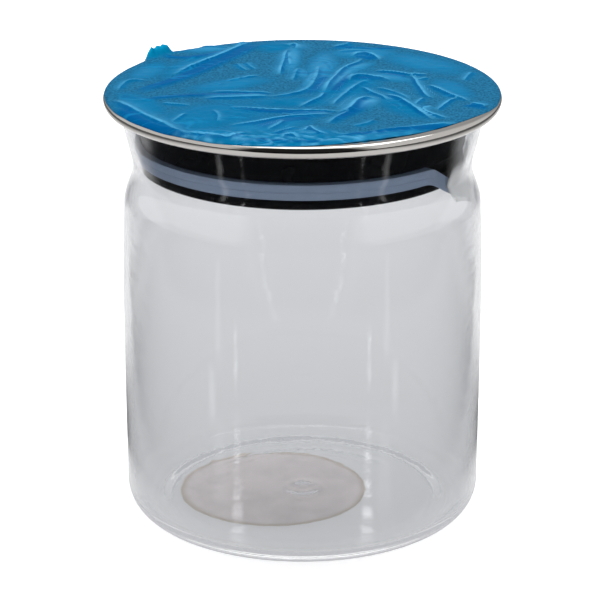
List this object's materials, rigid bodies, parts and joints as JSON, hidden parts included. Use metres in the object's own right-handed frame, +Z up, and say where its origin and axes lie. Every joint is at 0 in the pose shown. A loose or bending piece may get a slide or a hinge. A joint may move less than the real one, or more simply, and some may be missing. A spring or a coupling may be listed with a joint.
{
  "type": "airtight jar",
  "caption": "Round glass canister with a waisted neck, closed by a flat steel-capped plug lid with a silicone seal ring, its cap still under blue protective film.",
  "frame": {"origin": "middle of the base, on the surface that the jar stands on", "axes": "+Z up along the jar's axis, -Y towards the front of the pictured view, +X to its right"},
  "size_m": [0.109, 0.109, 0.1265],
  "materials": {
    "glass": "clear polished",
    "label": "matt paper",
    "strip": "frosted translucent film",
    "steel": "mirror polished stainless steel",
    "plug": "fine matt black",
    "seal": "satin silicone",
    "film": "glossy creased film"
  },
  "bodies": {
    "jar": {"glass_jar": "glass", "base_label": "label", "packing_strip": "strip"},
    "lid": {"steel_cap": "steel", "lid_plug": "plug", "plug_base": "plug", "seal_ring": "seal"},
    "film": {"protective_film": "film"}
  },
  "joints": [
    {"name": "lid_lift", "type": "slide", "parent": "jar", "child": "lid", "axis": [0, 0, 1], "range_m": [0, 0.045]},
    {"name": "film_lift", "type": "slide", "parent": "lid", "child": "film", "axis": [0, 0, 1], "range_m": [0, 0.03]}
  ]
}
